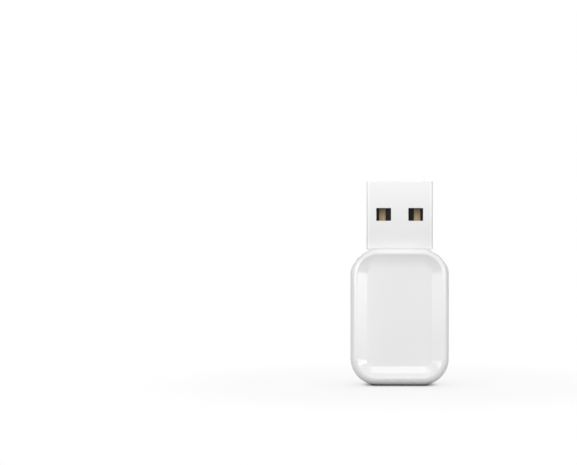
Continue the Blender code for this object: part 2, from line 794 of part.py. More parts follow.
def make_radio_end():
    """The radio chip with what stands beside it, and the parts that match it to the aerial."""
    add_square_chip("radio_chip", RADIO_SIZE, 0, RADIO_Z)
    left_x = -(RADIO_SIZE / 2 + PART_GAP + SMALL_WIDTH / 2)
    for number, z in enumerate(stack(RADIO_TOP_Z, 3, SMALL_LENGTH), 1):
        add_two_ended(f"radio_capacitor_{number}", SMALL, CERAMIC_TAN, left_x, z)
    crystal_x = RADIO_SIZE / 2 + PART_GAP + CRYSTAL_WIDTH / 2
    add_crystal(crystal_x, RADIO_TOP_Z - CRYSTAL_LENGTH / 2)
    load_x = crystal_x + CRYSTAL_WIDTH / 2 + PART_GAP + SMALL_WIDTH / 2
    for number, z in enumerate(stack(RADIO_TOP_Z, 2, SMALL_LENGTH), 1):
        add_two_ended(f"crystal_capacitor_{number}", SMALL, CERAMIC_TAN, load_x, z)
    pitch = SMALL_WIDTH + PART_GAP
    add_two_ended("matching_inductor", SMALL, CERAMIC_WHITE, 0, MATCHING_Z)
    add_two_ended("matching_capacitor_1", SMALL, CERAMIC_TAN, -pitch, MATCHING_Z)
    add_two_ended("matching_capacitor_2", SMALL, CERAMIC_TAN, pitch, MATCHING_Z)


def make_supply_end():
    """The serial chip and the regulator, with the protector and the small parts above."""
    serial_x = -(PART_GAP + SERIAL_SIZE) / 2
    add_square_chip("usb_serial_chip", SERIAL_SIZE, serial_x, SUPPLY_TOP_Z - SERIAL_SIZE / 2)
    regulator_half = REGULATOR_WIDTH / 2 + LEAD_REACH
    regulator_x = PART_GAP / 2 + regulator_half
    add_regulator(regulator_x, SUPPLY_TOP_Z - REGULATOR_LENGTH / 2)
    supply_z = RADIO_TOP_Z + PART_GAP + LARGE_LENGTH / 2
    right_x = PART_GAP / 2 + 2 * regulator_half + PART_GAP + LARGE_WIDTH / 2
    left_x = -(PART_GAP / 2 + SERIAL_SIZE + PART_GAP + LARGE_WIDTH / 2)
    add_two_ended("supply_capacitor_1", LARGE, CERAMIC_TAN, right_x, supply_z)
    add_two_ended("supply_capacitor_2", LARGE, CERAMIC_TAN, left_x, supply_z)
    protector = block("surge_protector", PROTECTOR_WIDTH, PROTECTOR_HEIGHT, PROTECTOR_LENGTH)
    place = seat(0, PROTECTOR_Z, PROTECTOR_HEIGHT)
    add_part("surge_protector", protector, CHIP_BLACK, place)
    data_x = PROTECTOR_WIDTH / 2 + PART_GAP + SMALL_WIDTH / 2
    add_two_ended("data_resistor_minus", SMALL, CHIP_BLACK, -data_x, PROTECTOR_Z)
    add_two_ended("data_resistor_plus", SMALL, CHIP_BLACK, data_x, PROTECTOR_Z)
    outer_x = data_x + SMALL_WIDTH + PART_GAP
    add_two_ended("supply_bead", SMALL, FERRITE_GREY, -outer_x, PROTECTOR_Z)
    add_two_ended("input_capacitor", SMALL, CERAMIC_TAN, outer_x, PROTECTOR_Z)


def even_out_shading():
    """Lets the large faces set the normals where cuts and joins have made new edges."""
    for part in bpy.data.collections[PARTS].objects:
        if part.modifiers:
            normals = part.modifiers.new("shading", "WEIGHTED_NORMAL")
            normals.weight = LARGE_FACE_WEIGHT
            normals.keep_sharp = True


start_empty()
WHITE_PLASTIC = finish("white_moulded_plastic", (0.86, 0.86, 0.86), 0.25)
WHITE_PAINT = finish("white_painted_steel", (0.90, 0.90, 0.90), 0.30)
BLACK_PLASTIC = finish("black_moulded_plastic", (0.012, 0.012, 0.012), 0.45)
GOLD_PLATE = finish("gold_plated_copper", (0.80, 0.58, 0.26), 0.25, 1.0)
BOARD_GREEN = finish("green_board", (0.02, 0.16, 0.06), 0.40)
CHIP_BLACK = finish("black_chip_resin", (0.020, 0.020, 0.022), 0.55)
BRIGHT_METAL = finish("nickel_plated_lid", (0.70, 0.69, 0.66), 0.25, 1.0)
CERAMIC_TAN = finish("tan_ceramic", (0.42, 0.27, 0.15), 0.50)
CERAMIC_WHITE = finish("white_ceramic", (0.75, 0.75, 0.72), 0.45)
FERRITE_GREY = finish("grey_ferrite", (0.10, 0.10, 0.11), 0.50)
make_front_shell()
make_rear_shell()
make_plug_shell()
make_insulator()
make_contacts()
make_board()
make_aerial()
make_radio_end()
make_supply_end()
even_out_shading()
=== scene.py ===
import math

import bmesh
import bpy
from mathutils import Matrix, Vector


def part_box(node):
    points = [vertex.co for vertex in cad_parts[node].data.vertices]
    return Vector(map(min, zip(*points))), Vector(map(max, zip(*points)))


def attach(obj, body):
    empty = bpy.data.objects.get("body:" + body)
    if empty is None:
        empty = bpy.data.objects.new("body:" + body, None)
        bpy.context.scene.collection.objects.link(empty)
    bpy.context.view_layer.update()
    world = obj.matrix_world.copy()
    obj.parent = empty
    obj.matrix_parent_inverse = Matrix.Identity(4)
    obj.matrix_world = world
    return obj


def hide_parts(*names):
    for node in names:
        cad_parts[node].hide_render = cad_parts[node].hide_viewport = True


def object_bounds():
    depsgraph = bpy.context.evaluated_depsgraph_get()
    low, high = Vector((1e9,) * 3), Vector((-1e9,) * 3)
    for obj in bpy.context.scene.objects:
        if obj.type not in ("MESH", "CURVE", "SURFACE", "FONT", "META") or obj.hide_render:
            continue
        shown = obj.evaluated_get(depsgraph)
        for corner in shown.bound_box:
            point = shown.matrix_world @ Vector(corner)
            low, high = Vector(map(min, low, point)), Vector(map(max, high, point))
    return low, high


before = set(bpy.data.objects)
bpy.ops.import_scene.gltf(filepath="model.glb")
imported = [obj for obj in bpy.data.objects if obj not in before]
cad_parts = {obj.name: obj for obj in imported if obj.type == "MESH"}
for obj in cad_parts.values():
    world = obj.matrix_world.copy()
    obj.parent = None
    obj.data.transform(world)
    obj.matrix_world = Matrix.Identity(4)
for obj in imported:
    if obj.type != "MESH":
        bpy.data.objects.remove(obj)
cad_low, cad_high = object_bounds()

# The looks of a USB radio stick that stands on its end with the plug up. The two shells, the
# plug's sleeve and what shows through its windows are modelled again, finer, where the packed
# nodes are. The board and the parts on it keep their nodes and get their finishes here.
# All lengths are in metres. The front faces -Y, and the plug points along +Z.

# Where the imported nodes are
shell_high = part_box("front_shell")[1]
back_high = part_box("rear_shell")[1]
sleeve_low, sleeve_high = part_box("plug_shell")
board_low, board_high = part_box("circuit_board")
tongue_low, tongue_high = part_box("plug_insulator")

HALF_WIDTH = shell_high.x
HALF_DEPTH = back_high.y
BODY_LENGTH = shell_high.z
PLUG_HALF_WIDTH = sleeve_high.x
PLUG_HALF_DEPTH = sleeve_high.y
MOUTH_Z = sleeve_high.z
PLUG_TAIL_Z = tongue_low.z

# Casing: its outline and the round from its side wall to its face
BODY_CORNER = 0.0049
EDGE_ROUND_WIDTH = 0.00127
EDGE_ROUND_DEPTH = 0.0015
HEAD_ROUND_SHARE = 0.86
WALL = 0.0011
INNER_ROUND = 0.0004
# The dish: how far each slope reaches in, and where the one at the foot folds and how deep
RECESS_DEPTH = 0.0010
RECESS_SIDE = 0.00176
RECESS_FOOT = 0.0021
RECESS_HEAD = 0.0024
FOOT_FOLD_SHARE = 0.46
FOOT_FOLD_DROP = 0.26
PANEL_CORNER = 0.0012
# The small rounds on the dish's rim, round its panel and along the parting line
CREST_ROUND = 0.000045
PANEL_ROUND = 0.00003
PARTING_ROUND = 0.0001
# What joins the shells: a lip in a rebate with snaps, ribs at the plug, and pins in bosses
PARTING_GAP = 0.0001
LIP_HEIGHT = 0.0008
LIP_SHEET = 0.0005
SNAP_LENGTH = 0.0030
SNAP_HEIGHT = 0.0002
SNAP_FROM_END = 0.0075
PLUG_RIB_WIDTH = 0.0009
PLUG_RIB_LENGTH = 0.0012
PLUG_RIB_PITCH = 0.0060
PIN_RADIUS = 0.0005
PIN_REACH = 0.0008
BOSS_RADIUS = 0.0011
PIN_X = 0.0060
PIN_FROM_NEXT = 0.0014
PIN_LEVELS = (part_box("printed_aerial")[1].z + PIN_FROM_NEXT, sleeve_low.z - PIN_FROM_NEXT)

# Plug
PLUG_SHEET = 0.0003
PLUG_BEND = 0.0006
SHEET_EDGE_ROUND = 0.00005
WINDOW_WIDTH = 0.00265
WINDOW_LENGTH = 0.0023
WINDOW_PITCH = 0.0058
WINDOW_FROM_MOUTH = 0.0048
SEAM_SLIT = 0.0001
DOVETAIL_WIDTH = 0.0008
DOVETAIL_LENGTH = 0.0016
DOVETAIL_SLANT = 0.0002
DOVETAIL_FROM_MOUTH = 0.0095
LEG_WIDTH = 0.0009
LEG_ABOVE_BOARD = 0.0012
TONGUE_CHAMFER = 0.0003
CAVITY_LENGTH = 0.0089
MOULDED_EDGE_ROUND = 0.00005
CONTACT_NOSE_ROUND = 0.00012
CONTACT_EDGE_ROUND = 0.00003

# Clearances
FIT = 0.00005
RUNNING_FIT = 0.0001
PLUG_WAY_GAP = 0.00001

# How finely the round shapes are drawn
CORNER_SEGMENTS = 24
EDGE_STEPS = 16
DISH_STEPS = 14
INNER_STEPS = 4
CREST_SEGMENTS = 5
PANEL_SEGMENTS = 3
PARTING_SEGMENTS = 4
BEND_SEGMENTS = 10
ROD_SEGMENTS = 40
NOSE_SEGMENTS = 6
SOFT_EDGE_SEGMENTS = 3
# Edges sharper than this, in degrees, stay sharp in the shading
SHARP_ANGLE = 32
# The setting of weighted normals at which the largest faces lead
LARGE_FACES_LEAD = 100
# Points nearer than this are one point
WELD_DISTANCE = 0.0000001

# Sizes of the patterns in the finishes
SHELL_CLOUD = 0.006
SHELL_HAZE = 0.0009
SHELL_PEEL = 0.0008
COAT_CLOUD = 0.004
COAT_PEEL = 0.0003
NYLON_GRAIN = 0.00012
# Real rolling lines are some micrometres apart: they are drawn 0.06 mm wide to show
ROLLING_LINE_WIDTH = 0.00006
ROLLING_LINE_LENGTH = 0.004
TRACE_GRAIN = 0.00008
# The board's cloth has about 17 yarns to the centimetre
YARN_PITCH = 0.0006
PAPER_FIBRE = 0.0008
# At a scale of 1, the bands of a wave texture lie this far apart
WAVE_PERIOD = 0.314
# Nearly all of a noise texture's values lie between these
NOISE_LOW, NOISE_HIGH = 0.3, 0.7


def linear(code):
    """A linear colour from an sRGB hex code."""
    shares = [int(code[i : i + 2], 16) / 255 for i in (1, 3, 5)]
    return [s / 12.92 if s <= 0.04045 else ((s + 0.055) / 1.055) ** 2.4 for s in shares] + [1.0]


def add_node(tree, kind, sockets=None, **settings):
    """Adds a node with its settings; a socket takes a value, or another node's output."""
    node = tree.nodes.new(kind)
    for name, value in settings.items():
        setattr(node, name, value)
    for name, value in (sockets or {}).items():
        if isinstance(value, bpy.types.NodeSocket):
            tree.links.new(value, node.inputs[name])
        else:
            node.inputs[name].default_value = value
    return node


def new_material(name):
    """An empty material, with its tree, its shader and the object's own coordinates."""
    material = bpy.data.materials.new(name)
    material.use_nodes = True
    tree = material.node_tree
    tree.nodes.clear()
    shader = add_node(tree, "ShaderNodeBsdfPrincipled")
    add_node(tree, "ShaderNodeOutputMaterial", {"Surface": shader.outputs["BSDF"]})
    place = add_node(tree, "ShaderNodeTexCoord").outputs["Object"]
    return material, tree, shader, place


def moulded_gloss_abs():
    """White ABS from a polished tool: a clean gloss that is faintly wavy, like orange peel."""
    material, tree, shader, place = new_material("moulded_gloss_abs")
    shader.inputs["IOR"].default_value = 1.53
    cloud = add_node(
        tree, "ShaderNodeTexNoise", {"Vector": place, "Scale": 1 / SHELL_CLOUD, "Detail": 2.0}
    )
    tint = add_node(
        tree,
        "ShaderNodeMix",
        {"Factor": cloud.outputs["Fac"], 6: linear("#EDEDED"), 7: linear("#F0F0F0")},
        data_type="RGBA",
    )
    tree.links.new(tint.outputs[2], shader.inputs["Base Color"])
    haze = add_node(
        tree, "ShaderNodeTexNoise", {"Vector": place, "Scale": 1 / SHELL_HAZE, "Detail": 4.0}
    )
    gloss = add_node(
        tree,
        "ShaderNodeMapRange",
        {
            "Value": haze.outputs["Fac"],
            "From Min": NOISE_LOW,
            "From Max": NOISE_HIGH,
            "To Min": 0.16,
            "To Max": 0.24,
        },
    )
    tree.links.new(gloss.outputs["Result"], shader.inputs["Roughness"])
    peel = add_node(
        tree, "ShaderNodeTexNoise", {"Vector": place, "Scale": 1 / SHELL_PEEL, "Detail": 1.0}
    )
    bump = add_node(
        tree,
        "ShaderNodeBump",
        {"Strength": 0.25, "Distance": 0.000004, "Height": peel.outputs["Fac"]},
    )
    tree.links.new(bump.outputs["Normal"], shader.inputs["Normal"])
    return material


# How far up from the casing the plug's coat stays darkest, as painted shade
PLUG_SHADE_LENGTH = 0.0024


def sprayed_white_steel():
    """Folded steel with a sprayed white coat: brighter than the shells, with a finer peel.

    The coat is painted darker towards the casing: painted shade for the weaker light low on
    the plug. How dark is matched to the photo's brightness.
    """
    material, tree, shader, place = new_material("sprayed_white_steel")
    shader.inputs["IOR"].default_value = 1.50
    cloud = add_node(
        tree, "ShaderNodeTexNoise", {"Vector": place, "Scale": 1 / COAT_CLOUD, "Detail": 2.0}
    )
    # thin is the darker tint near the casing: painted shade
    thin = add_node(
        tree,
        "ShaderNodeMix",
        {"Factor": cloud.outputs["Fac"], 6: linear("#E6E6E6"), 7: linear("#EAEAEA")},
        data_type="RGBA",
    )
    height = add_node(tree, "ShaderNodeSeparateXYZ", {"Vector": place}).outputs["Z"]
    # Painted shade: the coat's colour goes from the dark tint near the casing to white at the
    # mouth
    coat = add_node(
        tree,
        "ShaderNodeMapRange",
        {"Value": height, "From Min": BODY_LENGTH + PLUG_SHADE_LENGTH, "From Max": MOUTH_Z},
    )
    tint = add_node(
        tree,
        "ShaderNodeMix",
        {"Factor": coat.outputs["Result"], 6: thin.outputs[2], 7: linear("#FAFAFA")},
        data_type="RGBA",
    )
    tree.links.new(tint.outputs[2], shader.inputs["Base Color"])
    grain = add_node(
        tree, "ShaderNodeTexNoise", {"Vector": place, "Scale": 1 / COAT_PEEL, "Detail": 3.0}
    )
    gloss = add_node(
        tree,
        "ShaderNodeMapRange",
        {
            "Value": grain.outputs["Fac"],
            "From Min": NOISE_LOW,
            "From Max": NOISE_HIGH,
            "To Min": 0.28,
            "To Max": 0.31,
        },
    )
    tree.links.new(gloss.outputs["Result"], shader.inputs["Roughness"])
    bump = add_node(
        tree,
        "ShaderNodeBump",
        {"Strength": 0.08, "Distance": 0.000001, "Height": grain.outputs["Fac"]},
    )
    tree.links.new(bump.outputs["Normal"], shader.inputs["Normal"])
    return material


def moulded_black_nylon():
    """Black glass-filled nylon from a spark-eroded tool: matt, with a fine grain."""
    material, tree, shader, place = new_material("moulded_black_nylon")
    shader.inputs["IOR"].default_value = 1.53
    grain = add_node(
        tree, "ShaderNodeTexNoise", {"Vector": place, "Scale": 1 / NYLON_GRAIN, "Detail": 3.0}
    )
    tint = add_node(
        tree,
        "ShaderNodeMix",
        {"Factor": grain.outputs["Fac"], 6: linear("#14110D"), 7: linear("#221D16")},
        data_type="RGBA",
    )
    tree.links.new(tint.outputs[2], shader.inputs["Base Color"])
    shader.inputs["Roughness"].default_value = 0.8
    bump = add_node(
        tree,
        "ShaderNodeBump",
        {"Strength": 0.4, "Distance": 0.00001, "Height": grain.outputs["Fac"]},
    )
    tree.links.new(bump.outputs["Normal"], shader.inputs["Normal"])
    return material


def plated_gold_strip():
    """Rolled copper alloy under a thin gold plate: pale, with the rolling lines along Z.

    The plate is painted darker from the windows' lower edges up to the mouth: painted shade
    where the windows' top edges shade the strip. How dark is matched to the photo's brightness.
    """
    material, tree, shader, place = new_material("plated_gold_strip")
    shader.inputs["Metallic"].default_value = 1.0
    across, along = 1 / ROLLING_LINE_WIDTH, 1 / ROLLING_LINE_LENGTH
    lines = add_node(
        tree, "ShaderNodeMapping", {"Vector": place, "Scale": (across, across, along)}
    )
    rolled = add_node(
        tree,
        "ShaderNodeTexNoise",
        {"Vector": lines.outputs["Vector"], "Scale": 1.0, "Detail": 3.0},
    )
    height = add_node(tree, "ShaderNodeSeparateXYZ", {"Vector": place}).outputs["Z"]
    window_top = MOUTH_Z - WINDOW_FROM_MOUTH
    # Painted shade: the dark colour from the windows' lower edges up, where their top edges
    # shade it
    window_shade = add_node(
        tree,
        "ShaderNodeMapRange",
        {"Value": height, "From Min": window_top - WINDOW_LENGTH, "From Max": window_top},
    )
    plate = add_node(
        tree,
        "ShaderNodeMix",
        {"Factor": window_shade.outputs["Result"], 6: linear("#D0B993"), 7: linear("#28241A")},
        data_type="RGBA",
    )
    tint = add_node(
        tree,
        "ShaderNodeMix",
        {"Factor": rolled.outputs["Fac"], 6: plate.outputs[2], 7: linear("#7A6A50")},
        data_type="RGBA",
    )
    tree.links.new(tint.outputs[2], shader.inputs["Base Color"])
    gloss = add_node(
        tree,
        "ShaderNodeMapRange",
        {
            "Value": rolled.outputs["Fac"],
            "From Min": NOISE_LOW,
            "From Max": NOISE_HIGH,
            "To Min": 0.48,
            "To Max": 0.60,
        },
    )
    tree.links.new(gloss.outputs["Result"], shader.inputs["Roughness"])
    bump = add_node(
        tree,
        "ShaderNodeBump",
        {"Strength": 0.3, "Distance": 0.000003, "Height": rolled.outputs["Fac"]},
    )
    tree.links.new(bump.outputs["Normal"], shader.inputs["Normal"])
    return material


def etched_gold_trace():
    """The aerial's copper, etched and then dipped in gold: a grainy, warm satin."""
    material, tree, shader, place = new_material("etched_gold_trace")
    shader.inputs["Metallic"].default_value = 1.0
    grain = add_node(
        tree, "ShaderNodeTexNoise", {"Vector": place, "Scale": 1 / TRACE_GRAIN, "Detail": 4.0}
    )
    tint = add_node(
        tree,
        "ShaderNodeMix",
        {"Factor": grain.outputs["Fac"], 6: linear("#CFA75E"), 7: linear("#E5C37C")},
        data_type="RGBA",
    )
    tree.links.new(tint.outputs[2], shader.inputs["Base Color"])
    shader.inputs["Roughness"].default_value = 0.38
    bump = add_node(
        tree,
        "ShaderNodeBump",
        {"Strength": 0.5, "Distance": 0.000005, "Height": grain.outputs["Fac"]},
    )
    tree.links.new(bump.outputs["Normal"], shader.inputs["Normal"])
    return material


def coated_glass_laminate():
    """Green solder resist over glass cloth: a thin gloss, with the weave showing through."""
    material, tree, shader, place = new_material("coated_glass_laminate")
    shader.inputs["IOR"].default_value = 1.55
    turned = add_node(
        tree,
        "ShaderNodeMapping",
        {"Vector": place, "Rotation": (math.pi / 2, 0.0, 0.0)},
    )
    yarns = [
        add_node(
            tree,
            "ShaderNodeTexWave",
            {
                "Vector": turned.outputs["Vector"],
                "Scale": WAVE_PERIOD / YARN_PITCH,
                "Distortion": 0.6,
            },
            bands_direction=direction,
        ).outputs["Fac"]
        for direction in ("X", "Y")
    ]
    weave = add_node(
        tree, "ShaderNodeMath", {0: yarns[0], 1: yarns[1]}, operation="MULTIPLY"
    ).outputs["Value"]
    tint = add_node(
        tree,
        "ShaderNodeMix",
        {"Factor": weave, 6: linear("#0B4A26"), 7: linear("#12613A")},
        data_type="RGBA",
    )
    tree.links.new(tint.outputs[2], shader.inputs["Base Color"])
    shader.inputs["Roughness"].default_value = 0.28
    bump = add_node(
        tree, "ShaderNodeBump", {"Strength": 0.3, "Distance": 0.00001, "Height": weave}
    )
    tree.links.new(bump.outputs["Normal"], shader.inputs["Normal"])
    return material


# Tinned metal: its colour and roughness
TIN = ("#CFCFCA", 0.32)


def two_part_finish(name, body_hexes, body_roughness, grain_size, metal_share):
    """A fired or moulded body, with bright tinned metal where metal_share gives 1."""
    material, tree, shader, place = new_material(name)
    shader.inputs["IOR"].default_value = 1.55
    grain = add_node(
        tree, "ShaderNodeTexNoise", {"Vector": place, "Scale": 1 / grain_size, "Detail": 3.0}
    )
    body = add_node(
        tree,
        "ShaderNodeMix",
        {"Factor": grain.outputs["Fac"], 6: linear(body_hexes[0]), 7: linear(body_hexes[1])},
        data_type="RGBA",
    )
    share = metal_share(tree, place)
    colour = add_node(
        tree,
        "ShaderNodeMix",
        {"Factor": share, 6: body.outputs[2], 7: linear(TIN[0])},
        data_type="RGBA",
    )
    tree.links.new(colour.outputs[2], shader.inputs["Base Color"])
    tree.links.new(share, shader.inputs["Metallic"])
    gloss = add_node(
        tree,
        "ShaderNodeMapRange",
        {"Value": share, "To Min": body_roughness, "To Max": TIN[1]},
    )
    tree.links.new(gloss.outputs["Result"], shader.inputs["Roughness"])
    bump = add_node(
        tree,
        "ShaderNodeBump",
        {"Strength": 0.4, "Distance": 0.000006, "Height": grain.outputs["Fac"]},
    )
    tree.links.new(bump.outputs["Normal"], shader.inputs["Normal"])
    return material


def beyond(axis, middle, reach):
    """A share that is 1 further than reach from middle along an axis, and else 0."""

    def share(tree, place):
        """The nodes that give the share at a place."""
        parts = add_node(tree, "ShaderNodeSeparateXYZ", {"Vector": place})
        away = add_node(
            tree, "ShaderNodeMath", {0: parts.outputs[axis], 1: middle}, operation="SUBTRACT"
        )
        apart = add_node(
            tree, "ShaderNodeMath", {0: away.outputs["Value"]}, operation="ABSOLUTE"
        )
        over = add_node(
            tree,
            "ShaderNodeMath",
            {0: apart.outputs["Value"], 1: reach},
            operation="GREATER_THAN",
        )
        return over.outputs["Value"]

    return share


def start_piece(name, shape):
    """Turns a bmesh into an object that faces outwards."""
    bmesh.ops.recalc_face_normals(shape, faces=shape.faces)
    mesh = bpy.data.meshes.new(name)
    shape.to_mesh(mesh)
    shape.free()
    piece = bpy.data.objects.new(name, mesh)
    bpy.context.scene.collection.objects.link(piece)
    return piece


def change(piece, operation, tools):
    """Cuts the tools from the piece, or joins them to it, and puts them away."""
    for tool in tools:
        modifier = piece.modifiers.new(tool.name, "BOOLEAN")
        modifier.operation = operation
        modifier.object = tool
        modifier.solver = "EXACT"
    settle(piece)
    for tool in tools:
        bpy.data.objects.remove(tool)


def settle(piece):
    """Keeps what the piece's modifiers make of its mesh, and drops them."""
    seen = piece.evaluated_get(bpy.context.evaluated_depsgraph_get())
    mesh = bpy.data.meshes.new_from_object(seen)
    piece.modifiers.clear()
    piece.data = mesh


def weld(piece):
    """Joins the doubled points that cuts and rounded corners leave on each other."""
    shape = bmesh.new()
    shape.from_mesh(piece.data)
    bmesh.ops.remove_doubles(shape, verts=shape.verts, dist=WELD_DISTANCE)
    bmesh.ops.dissolve_degenerate(shape, edges=shape.edges, dist=WELD_DISTANCE)
    shape.to_mesh(piece.data)
    shape.free()


def soften(piece, width, angle):
    """Rounds the edges that are sharper than an angle in degrees."""
    bevel = piece.modifiers.new("softened_edges", "BEVEL")
    bevel.width = width
    bevel.segments = SOFT_EDGE_SEGMENTS
    bevel.limit_method = "ANGLE"
    bevel.angle_limit = math.radians(angle)
    bevel.miter_outer = "MITER_ARC"
    settle(piece)


def finish_piece(piece, material, slot, *nodes):
    """Shades a piece by its large faces, and puts it in its nodes' place on the frame."""
    weld(piece)
    piece.data.materials.clear()
    piece.data.materials.append(material)
    piece.data.shade_smooth()
    piece.data.set_sharp_from_angle(angle=math.radians(SHARP_ANGLE))
    normals = piece.modifiers.new("shading", "WEIGHTED_NORMAL")
    normals.weight = LARGE_FACES_LEAD
    normals.keep_sharp = True
    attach(piece, "root")
    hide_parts(*nodes)


def rounded_face(shape, half_width, low, high, corner, segments):
    """A face in the XZ plane with round corners; it is the shape's only face for now."""
    corners = ((half_width, low), (half_width, high), (-half_width, high), (-half_width, low))
    points = [shape.verts.new((x, 0, z)) for x, z in corners]
    shape.faces.new(points)
    bmesh.ops.bevel(
        shape,
        geom=points,
        offset=corner,
        offset_type="OFFSET",
        affect="VERTICES",
        segments=segments,
        profile=0.5,
        material=-1,
    )
    return next(iter(shape.faces))


def newly_made(grown, kind):
    """The points, or the edges, of what an operator made."""
    return [item for item in grown["geom"] if isinstance(item, kind)]


def corner_centre(point, ring):
    """The centre of the round corner that a point belongs to."""
    half_width, low, high, corner = ring
    x = math.copysign(half_width - corner, point.x)
    return x, (high - corner if point.z > (low + high) / 2 else low + corner)


def set_ring(points, old, new, depths):
    """Moves points from one rounded ring to another, given as (half width, low, high, corner).

    The depths are the ring's Y at the sides, at the head and at the foot.
    """
    at_sides, at_head, at_foot = depths
    for point in points:
        old_x, old_z = corner_centre(point.co, old)
        across = (point.co.x - old_x) / old[3]
        along = (point.co.z - old_z) / old[3]
        x, z = corner_centre(point.co, new)
        at_end = at_head if along > 0 else at_foot
        y = at_sides + (at_end - at_sides) * along**2
        point.co = (x + across * new[3], y, z + along * new[3])


def loft_rings(shape, rings):
    """A closed skin over rings, from a face on the first to one on the last.

    Gives back the edges of each ring.
    """
    size, depths = rings[0]
    face = rounded_face(shape, *size, CORNER_SEGMENTS)
    set_ring(face.verts, size, size, depths)
    loops = [face.edges[:]]
    for (old, _), (new, depths) in zip(rings, rings[1:]):
        grown = bmesh.ops.extrude_edge_only(shape, edges=loops[-1])
        points = newly_made(grown, bmesh.types.BMVert)
        set_ring(points, old, new, depths)
        made = set(points)
        edges = newly_made(grown, bmesh.types.BMEdge)
        loops.append([edge for edge in edges if made.issuperset(edge.verts)])
    bmesh.ops.contextual_create(shape, geom=loops[-1])
    return loops


def casing_ring(inset, y, head_share=1.0):
    """The casing's outline at one depth, drawn in by an inset, and at the head by a share."""
    head = BODY_LENGTH - inset * head_share
    return (HALF_WIDTH - inset, inset, head, BODY_CORNER - inset), (y, y, y)


def dish_ring(side, share, rim_inset, rim_y, head_share=1.0):
    """A ring on the way from the dish's rim, at share 0, to its panel, at share 1.

    The side slopes are flat. The one at the head is hollow, and the one at the foot is
    folded: it falls slowly from the crest, and then steeply to the panel.
    """

    def between(rim, panel):
        """A value's size at this share of the way down."""
        return rim + (panel - rim) * share

    size = (
        HALF_WIDTH - between(rim_inset, EDGE_ROUND_WIDTH + RECESS_SIDE),
        between(rim_inset, EDGE_ROUND_WIDTH + RECESS_FOOT),
        BODY_LENGTH - between(rim_inset * head_share, EDGE_ROUND_WIDTH + RECESS_HEAD),
        between(BODY_CORNER - rim_inset, PANEL_CORNER),
    )
    hollow = 1 - (1 - share) ** 2
    if share < FOOT_FOLD_SHARE:
        folded = FOOT_FOLD_DROP * share / FOOT_FOLD_SHARE
    else:
        past_fold = (share - FOOT_FOLD_SHARE) / (1 - FOOT_FOLD_SHARE)
        folded = FOOT_FOLD_DROP + (1 - FOOT_FOLD_DROP) * past_fold
    drops = (share, hollow, folded)
    return size, [rim_y - side * RECESS_DEPTH * drop for drop in drops]


def round_rings(first_inset, last_inset, wall_y, face_y, steps, head_share=1.0):
    """Rings round a quarter turn, from the side wall at wall_y to the face at face_y."""
    rings = []
    for step in range(steps + 1):
        turn = math.pi / 2 * step / steps
        inset = last_inset - (last_inset - first_inset) * math.cos(turn)
        y = wall_y + (face_y - wall_y) * math.sin(turn)
        rings.append(casing_ring(inset, y, head_share))
    return rings


def round_edges(shape, edges, width, segments):
    """Rounds edges to a width."""
    bmesh.ops.bevel(
        shape,
        geom=edges,
        offset=width,
        offset_type="OFFSET",
        affect="EDGES",
        segments=segments,
        profile=0.5,
        material=-1,
    )


def dish_shares():
    """The steps down the dish, with one on the fold at the foot."""
    shares = [step / DISH_STEPS for step in range(1, DISH_STEPS + 1)]
    nearest = min(shares, key=lambda share: abs(share - FOOT_FOLD_SHARE))
    return [FOOT_FOLD_SHARE if share == nearest else share for share in shares]


def mould_shell(name, side, edge):
    """A dished shell whose face looks along side * Y, with its edge given as (inset, height)."""
    face_y = side * HALF_DEPTH
    wall_y = face_y - side * EDGE_ROUND_DEPTH
    inner_y = face_y - side * WALL
    inner_wall_y = inner_y - side * INNER_ROUND
    inner_rim = WALL + INNER_ROUND
    shares = dish_shares()
    dish = [
        dish_ring(side, share, EDGE_ROUND_WIDTH, face_y, HEAD_ROUND_SHARE)
        for share in shares[::-1]
    ]
    outside = round_rings(0, EDGE_ROUND_WIDTH, wall_y, face_y, EDGE_STEPS, HEAD_ROUND_SHARE)
    outside.reverse()
    rim = [casing_ring(inset, side * height) for inset, height in edge]
    inside = round_rings(WALL, inner_rim, inner_wall_y, inner_y, INNER_STEPS)
    inner_dish = [dish_ring(side, share, inner_rim, inner_y) for share in shares]
    shape = bmesh.new()
    loops = loft_rings(shape, dish + outside + rim + inside + inner_dish)
    crest, parting = len(dish), len(dish + outside)
    round_edges(shape, loops[0], PANEL_ROUND, PANEL_SEGMENTS)
    round_edges(shape, loops[crest], CREST_ROUND, CREST_SEGMENTS)
    round_edges(shape, loops[parting], PARTING_ROUND, PARTING_SEGMENTS)
    return start_piece(name, shape)


def box_shape(low, high):
    """A box between two corners, as a bmesh."""
    low, high = Vector(low), Vector(high)
    shape = bmesh.new()
    bmesh.ops.create_cube(shape, size=1.0)
    bmesh.ops.scale(shape, vec=high - low, verts=shape.verts)
    bmesh.ops.translate(shape, vec=(low + high) / 2, verts=shape.verts)
    return shape


def rods(name, radius, start_y, end_y):
    """A round bar along Y at each locating pin, all in one tool."""
    shape = bmesh.new()
    for side in (-1, 1):
        for z in PIN_LEVELS:
            middle = Matrix.Translation((side * PIN_X, (start_y + end_y) / 2, z))
            bmesh.ops.create_cone(
                shape,
                cap_ends=True,
                segments=ROD_SEGMENTS,
                radius1=radius,
                radius2=radius,
                depth=abs(end_y - start_y),
                matrix=middle @ Matrix.Rotation(math.pi / 2, 4, "X"),
            )
    return start_piece(name, shape)


def carried(name, outline, along):
    """A flat outline of a few corners, carried along a straight line."""
    shape = bmesh.new()
    face = shape.faces.new([shape.verts.new(point) for point in outline])
    grown = bmesh.ops.extrude_face_region(shape, geom=[face])
    bmesh.ops.translate(shape, vec=along, verts=newly_made(grown, bmesh.types.BMVert))
    return start_piece(name, shape)


